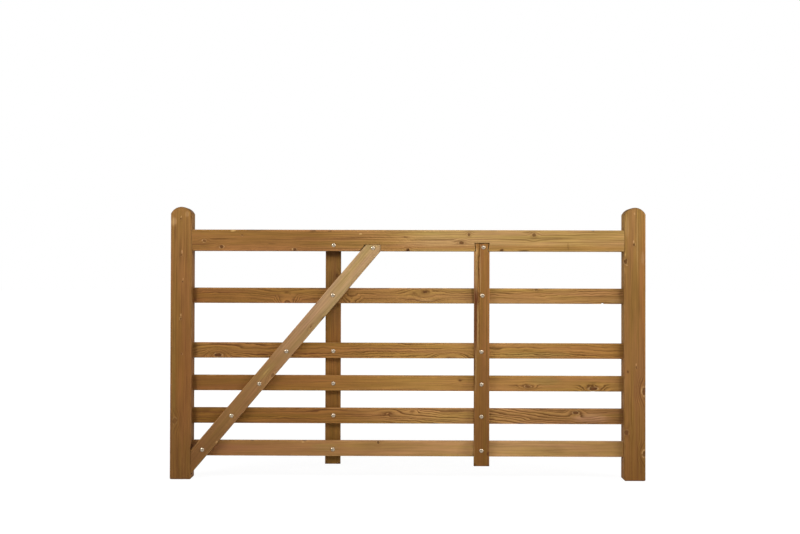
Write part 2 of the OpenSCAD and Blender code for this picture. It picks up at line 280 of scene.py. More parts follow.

# Every timber: its tones from one end to the other, partly its own colour and partly painted light, the stiles and
# uprights darker towards the foot where the light falls off downward and the rails lightest a little right of the
# middle where a painted pool of light lies; where its pith lies (through, across) in mm, the spacing of its rings,
# how boldly their summer bands show and how far they wander and waver.
# A slant tilts the bands between two places along the timber, by how many mm. The flaws are given as
# along from the timber's start and across to the left of its run, half length and half height. A knot
# adds how many mm it bends the bands, how dark its heart and how pale its lip; below 0 the bands fan
# out from it instead. A mark adds its colour and how strongly it covers. A chip adds its depth and
# whether it goes through or stays in the front face. A split is a drying crack, point by point.
timbers = {
    "top_rail": {
        "run": "level", "slot": "top_rail_wood", "seed": 11,
        "tones": [(0.05, "#8c6133"), (0.3, "#8d6333"), (0.47, "#a27946"), (0.55, "#af8d56"),
                  (1.0, "#a7814d")],
        "pith": (40, 150), "ring": 10, "lines": 0.52,
        "wander": 12, "waver": 3, "streak": 0.13, "mottle": 0.08,
        "knots": [(230, -29, 9, 6, 6, 0.85, 0.4), (322, 23, 5, 3, 4, 0.7, 0.6),
                  (557, -41, 8, 6, 6, 0.85, 0.7), (1067, -43, 8, 6, 4, 0.95, 0.3),
                  (1308, -10, 10, 6, 8, 0.8, 0.3), (1341, 28, 6, 6, 6, 0.8, 0.5),
                  (1633, 26, 8, 7, 8, 0.75, 0.3), (1488, -42, 6, 4, 3, 0.9, 0.0),
                  (1056, 15, 8, 2.5, 3, 0.6, 0.0), (151, -3, 7, 6, 7, 0.55, 0.8)],
        "marks": [(1560, -33, 640, 12, "orange", 0.5), (218, 5, 42, 4, "dark", 0.4),
                  (281, 43, 12, 4, "pale", 0.7), (455, -15, 18, 2.5, "dark", 0.3),
                  (640, 42, 16, 4, "dark", 0.5), (716, 42, 9, 4, "dark", 0.5),
                  (383, 46, 45, 4, "dark", 0.5), (854, 29, 6, 4, "pale", 0.9),
                  (905, 14, 150, 2.2, "dark", 0.45), (905, -22, 160, 3, "dark", 0.3),
                  (1290, -3, 30, 4, "dark", 0.35), (1606, 38, 26, 4, "dark", 0.4),
                  (1586, -45, 26, 4, "dark", 0.65), (1898, 46, 7, 3, "dark", 0.7),
                  (1786, -25, 5, 16, "dark", 0.25), (1700, 10, 120, 3, "dark", 0.3)],
        "chips": [(1067, -47, 8, 6, 4.5, "face"), (1488, -47, 6, 5, 3.5, "face"),
                  (1586, -48, 24, 4, 2.5, "face"), (557, -48, 8, 4, 2.0, "face"),
                  (1898, 48, 7, 4, 2.5, "face"), (281, 48, 13, 4, 1.5, "face"),
                  (640, 48, 16, 3, 1.5, "face")],
    },
    "fifth_rail": {
        "run": "level", "slot": "rail_wood", "seed": 12,
        "tones": [(0.05, "#815729"), (0.35, "#8e6534"), (0.7, "#aa824a"), (1.0, "#986d3f")],
        "pith": (30, 78), "ring": 9.5, "lines": 0.8,
        "wander": 12, "waver": 7, "streak": 0.1, "mottle": 0.07,
        "slants": [(20, 120, 10), (300, 470, -16), (500, 640, 12), (1050, 1110, -8), (1120, 1200, 8),
                   (1560, 1900, 12)],
        "knots": [(490, -42, 13, 11, -70, 0.0, 0.0), (785, -40, 10, 10, -52, 0.0, 0.0),
                  (1113, 18, 8, 5, 6, 0.9, 0.1), (1113, 10, 26, 12, 10, 0.0, 0.0),
                  (1612, 29, 8, 4, 8, 0.6, 0.6)],
        "marks": jointStainAndShadow + [(1585, 28, 16, 4, "dark", 0.4), (1634, 27, 12, 4, "dark", 0.35),
                  (1912, -34, 8, 4, "dark", 0.85), (1113, 8, 40, 14, "dark", 0.12),
                  (1111, -22, 46, 6, "tan", 0.4), (1970, -22, 36, 8, "tan", 0.4),
                  # the dark mark at 1327 is painted shadow that the front upright casts on this rail beside its
                  # left edge
                  (1500, 10, 200, 26, "orange", 0.18), (1327, 0, 7, 60, "dark", 0.45)],
        "chips": [(1912, -36, 8, 7, 6.0, "through"), (1600, 35, 12, 3, 1.5, "face")],
    },
    "fourth_rail": {
        "run": "level", "slot": "rail_wood", "seed": 13,
        "tones": [(0.0, "#8e6434"), (0.3, "#895f2c"), (0.6, "#ab7f46"), (1.0, "#926731")],
        "pith": (30, 72), "ring": 10.5, "lines": 0.95,
        "wander": 12, "waver": 9, "streak": 0.1, "mottle": 0.07,
        "slants": [(40, 150, 10), (200, 330, -12), (1700, 2000, -8)],
        "knots": [(178, -22, 14, 8, 48, 0.85, 0.5), (1229, -30, 26, 9, 30, 0.0, 0.0)],
        "marks": jointStainAndShadow + [(178, -24, 24, 9, "red", 0.42), (1610, -18, 160, 12, "green", 0.3),
                  (950, 10, 260, 24, "orange", 0.15)],
    },
    "third_rail": {
        "run": "level", "slot": "rail_wood", "seed": 14,
        "tones": [(0.0, "#794f25"), (0.3, "#855c2c"), (0.55, "#a47940"), (1.0, "#986e3b")],
        "pith": (36, -74), "ring": 9.5, "lines": 0.4,
        "wander": 15, "waver": 5, "streak": 0.09, "mottle": 0.08,
        "knots": [(1575, -13, 13, 5, 16, 0.75, 0.3), (1870, -22, 18, 7, 24, 0.85, 0.5),
                  (1270, 14, 6, 3, 4, 0.85, 0.0)],
        "marks": jointStainAndShadow + [(1545, -9, 55, 4, "dark", 0.35), (1868, -20, 50, 11, "red", 0.25),
                  (1650, 12, 70, 20, "green", 0.25), (670, 0, 300, 30, "orange", 0.2)],
        "chips": [(1868, -35, 10, 3, 1.5, "face")],
    },
    "second_rail": {
        "run": "level", "slot": "rail_wood", "seed": 15,
        "tones": [(0.0, "#744f1e"), (0.35, "#875d2c"), (0.57, "#ac824a"), (1.0, "#845d33")],
        "pith": (28, 76), "ring": 10.5, "lines": 0.9,
        "wander": 16, "waver": 7, "streak": 0.1, "mottle": 0.08,
        "slants": [(900, 1290, -26), (1330, 1800, -46), (1820, 1960, 10)],
        "knots": [(1791, 17, 12, 7, 20, 0.85, 0.4), (955, 14, 15, 6, 12, 0.0, 0.0),
                  (1058, 22, 8, 4, 12, 0.3, 0.0), (118, 38, 24, 9, 14, 0.0, 0.0)],
        "marks": jointStainAndShadow + [(1860, -8, 80, 20, "pink", 0.45), (1240, 27, 70, 5, "dark", 0.35),
                  (1216, -18, 60, 8, "green", 0.2)],
    },
    "bottom_rail": {
        "run": "level", "slot": "bottom_rail_wood", "seed": 16,
        "tones": [(0.0, "#845734"), (0.35, "#976f40"), (0.7, "#b18956"), (1.0, "#987044")],
        "pith": (60, -90), "ring": 11, "lines": 0.22,
        "wander": 14, "waver": 2.5, "streak": 0.09, "mottle": 0.09,
        "knots": [(936, 27, 6, 6, 6, 0.8, 0.4)],
        "marks": [(366, 33, 9, 3, "dark", 0.6), (603, 33, 9, 3, "dark", 0.6), (596, 28, 6, 4, "pale", 0.5),
                  (1315, 28, 20, 6, "tan", 0.5), (1320, -6, 30, 18, "dark", 0.16),
                  (690, 5, 60, 16, "green", 0.18), (1580, 12, 240, 20, "tan", 0.22),
                  (1728, -4, 50, 22, "dark", 0.15)],
        "chips": [(366, 35, 9, 4, 2.0, "face"), (603, 35, 9, 4, 2.0, "face")],
    },
    "hanging_stile": {
        "run": "upright", "slot": "hanging_stile_wood", "seed": 17,
        "tones": [(0.0, "#724d27"), (0.4, "#7b5226"), (0.8, "#81592e"), (1.0, "#8a6333")],
        "pith": (60, -95), "ring": 10, "lines": 0.38,
        "wander": 10, "waver": 2, "streak": 0.12, "mottle": 0.06,
        "knots": [(1171, 2, 4, 3, 5, 0.8, 0.3), (1008, -1, 5, 3, 6, 0.5, 0.2),
                  (889, -7, 4, 3, 5, 0.8, 0.3), (722, 1, 5, 4, 6, 0.6, 0.3),
                  (564, -4, 4, 3.5, 5, 0.6, 0.4), (263, 26, 13, 8, 10, 0.4, 0.18)],
        "marks": [(1181, 1, 5, 2.5, "pale", 0.7), (1022, -3, 9, 3, "pale", 0.5),
                  (899, -8, 5, 2.5, "pale", 0.35), (737, 0, 7, 4, "pale", 0.55),
                  (724, 6, 8, 2.2, "pale", 0.3), (1159, 34, 19, 12, "tan", 0.65),
                  (1192, -26, 13, 9, "tan", 0.4), (1040, 4, 60, 3, "dark", 0.25),
                  (800, -2, 90, 3, "dark", 0.25), (1110, 26, 34, 7, "dark", 0.25),
                  (80, 12, 80, 2.5, "dark", 0.25), (20, -36, 26, 3, "dark", 0.35),
                  (500, 33, 400, 9, "green", 0.12)],
        "chips": [(300, 47, 12, 3, 1.2, "face")],
    },
    "closing_stile": {
        "run": "upright", "slot": "closing_stile_wood", "seed": 18,
        "tones": [(0.0, "#775124"), (0.4, "#875f32"), (0.7, "#865f31"), (1.0, "#956f3c")],
        "pith": (55, 100), "ring": 10, "lines": 0.38,
        "wander": 10, "waver": 2, "streak": 0.12, "mottle": 0.06,
        "knots": [(1058, 5, 5, 3.5, 6, 0.8, 0.4), (983, 41, 12, 6, 7, 0.75, 0.35),
                  (509, -6, 5, 3, 5, 0.7, 0.4), (402, -42, 17, 10, 14, 0.5, 0.7),
                  (217, 38, 10, 9, 8, 0.6, 0.15), (123, -43, 13, 9, 12, 0.45, 0.6),
                  (489, 32, 4, 3, 4, 0.8, 0.0)],
        "marks": [(1071, 6, 8, 3, "pale", 0.6), (1060, -2, 7, 2.5, "pale", 0.4),
                  (519, -5, 8, 2, "pale", 0.6), (1012, 43, 7, 1.8, "pale", 0.6),
                  (965, 36, 2.5, 5, "pale", 0.6), (1197, 2, 5, 4, "pale", 0.4),
                  (1060, -10, 130, 3, "tan", 0.35), (900, -34, 300, 14, "orange", 0.45),
                  (1140, 36, 50, 8, "tan", 0.3), (1000, -34, 30, 8, "tan", 0.3),
                  (60, 14, 60, 2.5, "dark", 0.35), (90, -12, 70, 2.5, "dark", 0.3),
                  (70, -26, 50, 2.5, "dark", 0.25), (402, -42, 13, 8, "red", 0.3),
                  (217, 38, 9, 8, "red", 0.35), (123, -43, 11, 7, "red", 0.3)],
        "chips": [(983, 48, 9, 5, 2.0, "face"), (405, -48, 8, 4, 1.5, "face"),
                  (700, -48, 14, 3, 1.2, "face")],
    },
    "back_upright": {
        "run": "upright", "slot": "back_upright_wood", "seed": 19,
        "tones": [(0.0, "#6c4b1f"), (0.5, "#815628"), (1.0, "#714d20")],
        "pith": (45, -70), "ring": 10, "lines": 0.34,
        "wander": 12, "waver": 3, "streak": 0.11, "mottle": 0.08,
        "knots": [(853, -19, 8, 6, 10, 0.55, 0.0)],
        # the full-width dark mark at 955 is painted shadow that the top rail casts on the upright just below it
        "marks": [(840, -14, 30, 10, "dark", 0.2), (955, 0, 15, 60, "dark", 0.85),
                  (790, 0, 170, 60, "tan", 0.12)],
    },
    "front_upright": {
        "run": "upright", "slot": "front_upright_wood", "seed": 20,
        "tones": [(0.0, "#714c21"), (0.5, "#845a2e"), (1.0, "#8f6331")],
        "pith": (45, -80), "ring": 10, "lines": 0.34,
        "wander": 8, "waver": 2, "streak": 0.1, "mottle": 0.07,
        "knots": [(56, -31, 9, 6, 8, 0.85, 0.0)],
        "marks": [(752, 26, 44, 12, "resin", 0.85), (650, 29, 150, 8, "resin", 0.85),
                  (470, 33, 120, 4, "resin", 0.6), (220, 34, 240, 2.4, "dark", 0.5),
                  (620, 17, 110, 2.8, "tan", 0.5), (620, 11, 90, 2, "dark", 0.45),
                  (440, 26, 110, 4, "tan", 0.4), (880, 25, 110, 6, "tan", 0.5),
                  (880, 7, 120, 3, "tan", 0.4), (640, 19, 90, 2.5, "tan", 0.5),
                  (962, 24, 14, 5, "pale", 0.6), (972, -26, 12, 4, "pale", 0.4)],
        "chips": [(56, -35, 8, 5, 2.5, "face"), (470, 35, 20, 3, 1.2, "face")],
        "split": [(999, 9), (964, 12), (896, 17), (826, 13), (790, 9), (740, 12), (690, 14)],
    },
    "brace": {
        "run": "brace", "slot": "brace_wood", "seed": 21,
        "tones": [(0.0, "#6f4d26"), (0.4, "#8e6840"), (0.75, "#a3855d"), (1.0, "#ac8c60")],
        "pith": (60, 90), "ring": 11, "lines": 0.2,
        "wander": 10, "waver": 2.5, "streak": 0.09, "mottle": 0.08,
        "knots": [(876, -34, 9, 5, 6, 0.8, 0.3), (813, -17, 8, 4, 6, 0.6, 0.5),
                  (538, -27, 10, 6, 8, 0.6, 0.4), (172, 24, 5, 3, 4, 0.6, 0.5)],
        "marks": [(534, 4, 50, 16, "green", 0.18), (532, 6, 22, 3, "pale", 0.32),
                  (146, -31, 7, 4, "pale", 0.5), (1050, 4, 180, 20, "tan", 0.3)],
        "chips": [(172, 35, 8, 4, 3.0, "face"), (876, -35, 9, 5, 2.5, "face"),
                  (146, -35, 6, 3, 1.5, "face")],
    },
}

# The brace's run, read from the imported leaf; it crosses the fifth rail over the back upright
braceLow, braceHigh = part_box("brace")
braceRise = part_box("top_rail")[0].z - braceLow.z     # along its lower edge, heel to nose
braceAngle = math.atan2(braceRise, braceHigh.x - braceLow.x)
crossing = Vector((centreOf("back_upright").x, 0, centreOf("fifth_rail").z))


def timberSpace(name):
    # start point, turn about Y and length of the timber's own axes
    low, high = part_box(name)
    middle = (low + high) / 2
    run = timbers[name]["run"]
    if run == "level":
        return Vector((low.x, middle.y, middle.z)), 0.0, high.x - low.x
    if run == "upright":
        return Vector((middle.x, middle.y, low.z)), math.pi / 2, high.z - low.z
    start = Vector((low.x, middle.y, crossing.z - (crossing.x - low.x) * math.tan(braceAngle)))
    return start, braceAngle, (high.x - low.x) / math.cos(braceAngle)


def timberHalves(name):
    # half the width and half the thickness, in mm
    start, turn, length = timberSpace(name)
    spin = Matrix.Rotation(turn, 3, "Y")
    points = [spin @ (v.co - start) * 1000 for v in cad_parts[name].data.vertices]
    return max(p.z for p in points), max(p.y for p in points)


# Patterns of the wood: size in mm along, through and across the fibres, detail, seed and roughness.
# Real fibres, resin ducts and fine streaks are 0.1 to 1 mm across, here 2 to 6 mm so that they show.
grain = {
    "bend": ((480, 90, 70), 2, 0.0, 0.55),          # the rings' long bends
    "waver": ((75, 60, 26), 2, 19.0, 0.55),         # and their short ones
    "boldness": ((300, 40, 16), 2, 31.0, 0.55),     # where the summer bands show well
    "streak": ((190, 7, 5.5), 3, 83.0, 0.62),
    "mottle": ((150, 50, 30), 3, 57.0, 0.55),
    "tint": ((420, 60, 26), 2, 131.0, 0.55),        # warmer and greener runs
    "hairline": ((240, 6, 4.2), 2, 113.0, 0.5),     # resin ducts
    "ragged": ((13, 13, 9), 3, 5.0, 0.65),          # frays the outlines of the flaws
    "broken": ((12, 12, 8), 1, 151.0, 0.55),        # breaks up the knots' pale lips
    "rubbed": ((45, 9, 9), 2, 71.0, 0.55),          # where handling has reached the arrises
    "fibre": ((45, 1.8, 1.8), 2, 7.0, 0.55),
}
woodFinish = {
    "frayAlong": 12, "frayAcross": 7,       # mm by which flaws are frayed
    "knifeMarks": 5,                        # mm; the planer leaves them 2 mm apart, too fine to show
    "relief": 0.0003,                       # metres of raised summer wood
    "arrisBand": 5,                         # mm that rubbing reaches in from an arris
    "rubbedPale": 0.45,
    "dullest": 0.80, "smoothest": 0.66,     # roughness
    "sheen": 0.12,                          # soaked-in stain leaves little gloss
}
knotLook = {
    "depth": 12,                            # mm; a flaw goes in this far and its height more
    "spread": 0.7,                          # how far the bands part, in its half heights
    "bendForBold": 24,                      # mm; bands bent this far show fully
    "boldFrom": 3.0, "boldTo": 6.5,         # where they do: this and all below in its radii
    "spreadReach": 6.0, "bendReach": 5.5,
    "lipAt": 1.25, "lipWide": 0.5,
}
ringLook = {
    "years": 0.55, "uneven": 1.7,           # good years are wide and poor ones narrow
    "darkness": [(0.0, 0.05), (0.42, 0.05), (0.66, 0.6), (0.80, 1), (0.90, 1), (0.97, 0.05)],
    "paleUntil": 0.40, "palest": 0.25,      # spring wood is paler at the start of a year
}
rgba = {"data_type": "RGBA"}


def boldBy(bend):
    # the more the bands bend, the more boldly they show
    return min(0.9, abs(bend) / knotLook["bendForBold"])


def partRoundKnots(tree, knots, grainMm, farFrom):
    # the grain parts around each knot, and the bands close round it or fan out from it
    flowing = grainMm
    swirl = bent = 0.0
    hearts = []
    for knot in knots:
        halfHigh, bend, dark, lip = knot[3:]
        flat, far = farFrom(knot)
        hearts.append((far, dark, lip))
        pull = addNode(tree, "MapRange", {"interpolation_type": "SMOOTHERSTEP"},
                       [far, 0.0, knotLook["spreadReach"], -knotLook["spread"] * halfHigh, 0.0])
        spread = addNode(tree, "VectorMath", {"operation": "SCALE"}, {0: flat, "Scale": pull})
        flowing = addNode(tree, "VectorMath", {"operation": "MULTIPLY_ADD"}, [spread, (0, 0, 1), flowing])
        shape = "SMOOTHERSTEP" if bend > 0 else "LINEAR"
        pushed = addNode(tree, "MapRange", {"interpolation_type": shape},
                         [far, 0.0, knotLook["bendReach"], bend, 0.0])
        swirl = addNode(tree, "Math", {"operation": "ADD"}, [pushed, swirl])
        near = addNode(tree, "MapRange", smoothStep,
                       [far, knotLook["boldFrom"], knotLook["boldTo"], boldBy(bend), 0.0])
        bent = addNode(tree, "Math", {"operation": "MAXIMUM"}, [near, bent])
    return flowing, swirl, bent, hearts


def growthBands(tree, timber, along, flowing, swirl, bent, patches):
    # growth rings: distance from the pith in mm, spaced wide enough to show at this size
    through, across = timber["pith"]
    fromPith = addNode(tree, "VectorMath", {"operation": "MULTIPLY_ADD"},
                       [flowing, (0, 1, 1), (0, -through, -across)])
    radius = addNode(tree, "VectorMath", {"operation": "LENGTH"}, [fromPith])
    for slantFrom, slantTo, rise in timber.get("slants", []):
        half = (slantTo - slantFrom) / 2
        tilt = addNode(tree, "MapRange", smoothStep, [along, slantFrom, slantTo, 0.0, rise])
        radius = addNode(tree, "Math", {"operation": "ADD"}, [tilt, radius])
        offMiddle = addNode(tree, "Math", {"operation": "SUBTRACT"}, [along, slantFrom + half])
        away = addNode(tree, "Math", {"operation": "ABSOLUTE"}, [offMiddle])
        near = addNode(tree, "MapRange", {}, [away, half * 0.7, half * 1.3, boldBy(rise), 0.0])
        bent = addNode(tree, "Math", {"operation": "MAXIMUM"}, [near, bent])
    wavy = radius
    for pattern, reach in (("bend", timber["wander"] * 2), ("waver", timber["waver"] * 2)):
        wavy = addNode(tree, "Math", {"operation": "MULTIPLY_ADD"}, [patches(pattern), reach, wavy])
    swirled = addNode(tree, "Math", {"operation": "ADD"}, [wavy, swirl])
    rings = addNode(tree, "Math", {"operation": "DIVIDE"}, [swirled, timber["ring"]])
    years = addNode(tree, "Math", {"operation": "MULTIPLY"}, [rings, ringLook["years"]])
    uneven = addNode(tree, "TexNoise", {"noise_dimensions": "1D"}, {"W": years, "Scale": 1.0, "Detail": 1.0})
    spaced = addNode(tree, "Math", {"operation": "MULTIPLY_ADD"}, [uneven, ringLook["uneven"], rings])
    phase = addNode(tree, "Math", {"operation": "FRACT"}, [spaced])
    late = addNode(tree, "ValToRGB",
                   {"stops": [(p, (dark, dark, dark, 1)) for p, dark in ringLook["darkness"]]}, [phase])
    bold = addNode(tree, "MapRange", {},
                   [patches("boldness"), 0.36, 0.64, 0.15 * timber["lines"], timber["lines"]])
    shows = addNode(tree, "Math", {"operation": "MAXIMUM"}, [bold, bent])
    lateShow = addNode(tree, "Math", {"operation": "MULTIPLY"}, [late, shows])
    afterBand = addNode(tree, "MapRange", {}, [phase, 0.05, ringLook["paleUntil"], 1.0, 0.0])
    spring = addNode(tree, "Math", {"operation": "MULTIPLY"}, [afterBand, shows])
    return lateShow, spring


def baseTones(tree, timber, along, length, farFrom):
    # base tone from one end of the timber to the other, partly painted light, then its marks, a few of them painted
    # shade
    place = addNode(tree, "Math", {"operation": "DIVIDE"}, [along, length * 1000])
    colour = addNode(tree, "ValToRGB", {"stops": [(p, linear(c)) for p, c in timber["tones"]]}, [place])
    for mark in timber["marks"]:
        tone, cover = mark[4:]
        flat, far = farFrom(mark)
        covered = addNode(tree, "MapRange", smoothStep, [far, 0.55, 1.35, cover, 0.0])
        colour = addNode(tree, "Mix", rgba, {0: covered, 6: colour, 7: linear(stainAndShade[tone])})
    return colour


def drawGrain(tree, timber, colour, lateShow, spring, fineStreak, flowing, patches):
    # summer bands, then streaks, mottling, warmer and greener runs and resin ducts
    colour = addNode(tree, "Mix", rgba, {0: lateShow, 6: colour, 7: linear(stainAndShade["lateWood"])})
    gain = addNode(tree, "MapRange", {},
                   [fineStreak, 0.32, 0.68, 1 - timber["streak"], 1 + timber["streak"]])
    mottle = addNode(tree, "MapRange", {},
                     [patches("mottle"), 0.32, 0.68, 1 - timber["mottle"], 1 + timber["mottle"]])
    lift = addNode(tree, "Math", {"operation": "MULTIPLY_ADD"}, [spring, ringLook["palest"], 1.0])
    patchy = addNode(tree, "Math", {"operation": "MULTIPLY"}, [gain, mottle])
    brightness = addNode(tree, "Math", {"operation": "MULTIPLY"}, [patchy, lift])
    colour = addNode(tree, "VectorMath", {"operation": "SCALE"}, {0: colour, "Scale": brightness})
    warmth = addNode(tree, "MapRange", {}, [patches("tint"), 0.36, 0.64, -0.05, 0.05])
    redder = addNode(tree, "Math", {"operation": "ADD"}, [warmth, 1.0])
    bluer = addNode(tree, "Math", {"operation": "MULTIPLY_ADD"}, [warmth, 2.6, 1.0])
    tint = addNode(tree, "CombineXYZ", {}, [redder, 1.0, bluer])
    colour = addNode(tree, "VectorMath", {"operation": "MULTIPLY"}, [colour, tint])
    hairline = addNode(tree, "MapRange", smoothStep, [patches("hairline", flowing), 0.57, 0.68, 0.0, 0.22])
    return addNode(tree, "Mix", rgba, {0: hairline, 6: colour, 7: linear(stainAndShade["lateWood"])})


def paintKnots(tree, colour, hearts, patches):
    # knots: brown heart, dark rim, soft halo and a broken pale lip
    broken = addNode(tree, "MapRange", {}, [patches("broken"), 0.40, 0.58, 0.1, 1.0])
    heartTone, rimTone = linear(stainAndShade["knotHeart"]), linear(stainAndShade["knotRim"])
    haloTone = linear(stainAndShade["knotHalo"])[:3]
    for far, dark, lip in hearts:
        outward = addNode(tree, "Math", {"operation": "MULTIPLY"}, [far, 0.28])
        heart = addNode(tree, "ValToRGB",
                        {"stops": [(0.0, heartTone), (0.19, heartTone), (0.26, rimTone),
                                   (0.36, haloTone + (0.4,)), (0.8, haloTone + (0.0,))]}, [outward])
        cover = addNode(tree, "Math", {"operation": "MULTIPLY"}, [heart.outputs["Alpha"], dark])
        colour = addNode(tree, "Mix", rgba, {0: cover, 6: colour, 7: heart.outputs["Color"]})
        past = addNode(tree, "Math", {"operation": "SUBTRACT"}, [far, knotLook["lipAt"]])
        offLip = addNode(tree, "Math", {"operation": "ABSOLUTE"}, [past])
        pale = addNode(tree, "MapRange", smoothStep, [offLip, 0.0, knotLook["lipWide"], lip, 0.0])
        cover = addNode(tree, "Math", {"operation": "MULTIPLY"}, [pale, broken])
        colour = addNode(tree, "Mix", rgba, {0: cover, 6: colour, 7: linear(stainAndShade["pale"])})
    return colour


def rubArrises(tree, colour, axes, halfWide, halfThick, patches):
    # arrises, where handling has rubbed the stain thin
    near = []
    for axis, half in ((2, halfWide), (1, halfThick)):
        off = addNode(tree, "Math", {"operation": "ABSOLUTE"}, [axes.outputs[axis]])
        band = half - woodFinish["arrisBand"]
        near.append(addNode(tree, "MapRange", {}, [off, band, half - 0.5, 0.0, 1.0]))
    arris = addNode(tree, "Math", {"operation": "MULTIPLY"}, near)
    handled = addNode(tree, "MapRange", {}, [patches("rubbed"), 0.4, 0.7, 0.0, woodFinish["rubbedPale"]])
    rubbed = addNode(tree, "Math", {"operation": "MULTIPLY"}, [arris, handled])
    return addNode(tree, "Mix", rgba, {0: rubbed, 6: colour, 7: linear(stainAndShade["pale"])})


def darkenEnds(tree, colour, spin):
    # end grain, wherever the surface faces along the fibres
    fibres = spin.transposed() @ Vector((1, 0, 0))
    facing = addNode(tree, "VectorMath", {"operation": "DOT_PRODUCT"},
                     [addNode(tree, "NewGeometry").outputs["Normal"], fibres])
    turned = addNode(tree, "Math", {"operation": "ABSOLUTE"}, [facing])
    endMix = addNode(tree, "MapRange", {}, [turned, 0.12, 0.75, 0.0, 0.7])
    return addNode(tree, "Mix", rgba, {0: endMix, 6: colour, 7: linear(stainAndShade["endGrain"])})


def planedStainedPine(name):
    # Planed, preservative-stained softwood: warm brown, with painted light in its tones along the length, darker
    # summer bands drawn out along the grain, knots that the bands flow around, pale and dark patches (a few dark
    # ones painted shade), rubbed arrises, dark end grain.
    timber = timbers[name]
    start, turn, length = timberSpace(name)
    halfWide, halfThick = timberHalves(name)
    spin = Matrix.Rotation(turn, 3, "Y")

    material, tree = emptyMaterial("planedStainedPine_" + name)
    grainMm = addNode(tree, "Mapping", {},
                      {"Vector": addNode(tree, "TexCoord").outputs["Object"],
                       "Location": spin @ start * -1000, "Rotation": (0, turn, 0), "Scale": (1000,) * 3})
    axes = addNode(tree, "SeparateXYZ", {}, [grainMm])
    along = axes.outputs[0]
    shift = timber["seed"] * 7.3

    def patches(pattern, where=grainMm):
        # noise drawn out along the grain
        size, detail, seed, roughness = grain[pattern]
        spread = addNode(tree, "Mapping", {},
                         {"Vector": where, "Location": (shift + seed, shift, seed),
                          "Scale": tuple(1 / s for s in size)})
        return addNode(tree, "TexNoise", {},
                       {"Vector": spread, "Scale": 1.0, "Detail": detail, "Roughness": roughness})

    ragged = addNode(tree, "VectorMath", {"operation": "SUBTRACT"},
                     [patches("ragged").outputs["Color"], (0.5, 0.5, 0.5)])
    flawSpace = addNode(tree, "VectorMath", {"operation": "MULTIPLY_ADD"},
                        [ragged, (woodFinish["frayAlong"], 0, woodFinish["frayAcross"]), grainMm])

    def farFrom(flaw):
        # 0 at the middle of a flaw, 1 at its edge; it fades with the depth behind the front face
        atAlong, atAcross, halfLong, halfHigh = flaw[:4]
        deep = knotLook["depth"] + 2 * halfHigh
        flat = addNode(tree, "VectorMath", {"operation": "MULTIPLY_ADD"},
                       [flawSpace, (1 / halfLong, 1 / deep, 1 / halfHigh),
                        (-atAlong / halfLong, halfThick / deep, -atAcross / halfHigh)])
        return flat, addNode(tree, "VectorMath", {"operation": "LENGTH"}, [flat])

    fineStreak = patches("streak")
    flowing, swirl, bent, hearts = partRoundKnots(tree, timber["knots"], grainMm, farFrom)
    lateShow, spring = growthBands(tree, timber, along, flowing, swirl, bent, patches)
    colour = baseTones(tree, timber, along, length, farFrom)
    colour = drawGrain(tree, timber, colour, lateShow, spring, fineStreak, flowing, patches)
    colour = paintKnots(tree, colour, hearts, patches)
    colour = rubArrises(tree, colour, axes, halfWide, halfThick, patches)
    colour = darkenEnds(tree, colour, spin)

    # raised summer wood, open fibres and the planer's knife marks
    beat = addNode(tree, "Math", {"operation": "MULTIPLY"}, [along, 2 * math.pi / woodFinish["knifeMarks"]])
    knife = addNode(tree, "Math", {"operation": "SINE"}, [beat])
    raised = addNode(tree, "Math", {"operation": "MULTIPLY_ADD"}, [patches("fibre"), 0.5, lateShow])
    relief = addNode(tree, "Math", {"operation": "MULTIPLY_ADD"}, [knife, 0.05, raised])
    bumped = addNode(tree, "Bump", {}, {"Height": relief, "Distance": woodFinish["relief"], "Strength": 0.6})
    rough = addNode(tree, "MapRange", {},
                    [fineStreak, 0.3, 0.7, woodFinish["dullest"], woodFinish["smoothest"]])
    wood = addNode(tree, "BsdfPrincipled", {},
                   {"Base Color": colour, "Roughness": rough, "Normal": bumped, "IOR": 1.45,
                    "Specular IOR Level": woodFinish["sheen"]})
    addNode(tree, "OutputMaterial", {}, {"Surface": wood})
    return material


wear = {
    "column": 18, "row": 9,         # mm between the points that carry the shape
    "hollow": 0.30,                 # mm; the planer and the weather leave the faces slightly uneven
    "longWave": (90, 30, 22),       # mm along, through and across of the broad hollows
    "shortWave": (22, 9, 9),        # and of the rubbed places
    "rubbed": 0.45,                 # mm more that is gone from the arrises
    "splitWide": 2.4, "splitDeep": 6, "splitStep": 12,
    "splitRunOut": (160, 5),        # mm in which it closes, at its foot and at the timber's end
    "creased": 28,                  # degrees; arrises stay crisp, the worn faces are smooth
}


def cutAcross(bm, faces, place, normal):
    # splits these faces along a plane
    faces = [face for face in faces if face.is_valid]
    edges = {edge for face in faces for edge in face.edges}
    verts = {vert for face in faces for vert in face.verts}
    bmesh.ops.bisect_plane(bm, geom=list(verts) + list(edges) + faces, dist=0.001,
                           plane_co=place, plane_no=normal)


def facesNear(bm, alongFrom, alongTo, acrossFrom, acrossTo, throughTo):
    found = []
    for face in bm.faces:
        middle = face.calc_center_median()
        if alongFrom < middle.x < alongTo and acrossFrom < middle.z < acrossTo and middle.y < throughTo:
            found.append(face)
    return found


